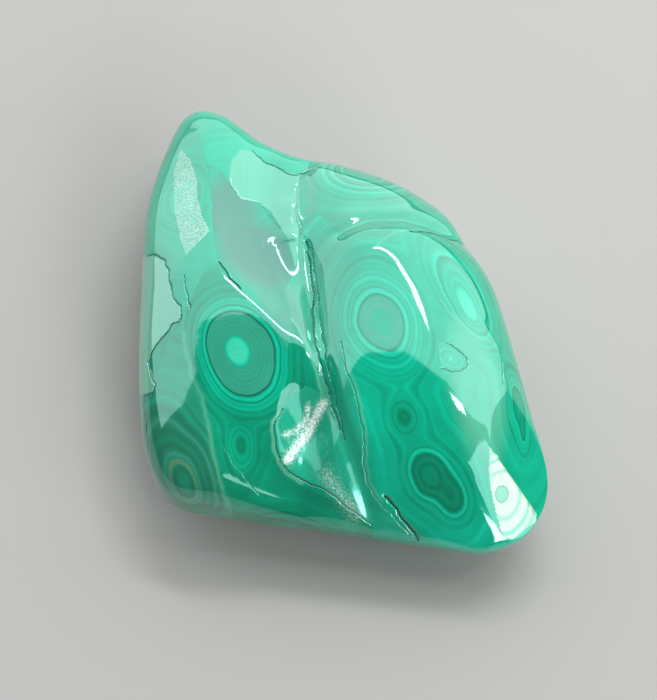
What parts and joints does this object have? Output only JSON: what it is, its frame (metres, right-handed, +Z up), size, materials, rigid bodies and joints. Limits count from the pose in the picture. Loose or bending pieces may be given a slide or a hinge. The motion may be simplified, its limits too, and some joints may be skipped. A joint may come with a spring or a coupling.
{
  "type": "polished malachite specimen",
  "caption": "Polished free-form malachite stone, kite-shaped from above, with soft hand-ground ridges, a deep valley down the middle and a ground flat back that it lies on.",
  "frame": {"origin": "middle of the bounding box, at the level of the ground flat back that the stone lies on", "axes": "+Z up from the flat back to the domed crown, +Y along the stone to its pointed end, +X to the right seen from above with the point away"},
  "size_m": [0.0896, 0.1072, 0.0366],
  "materials": {
    "malachite": "polished, banded in light and dark green"
  },
  "bodies": {
    "root": {"malachite_stone": "malachite"}
  },
  "joints": []
}
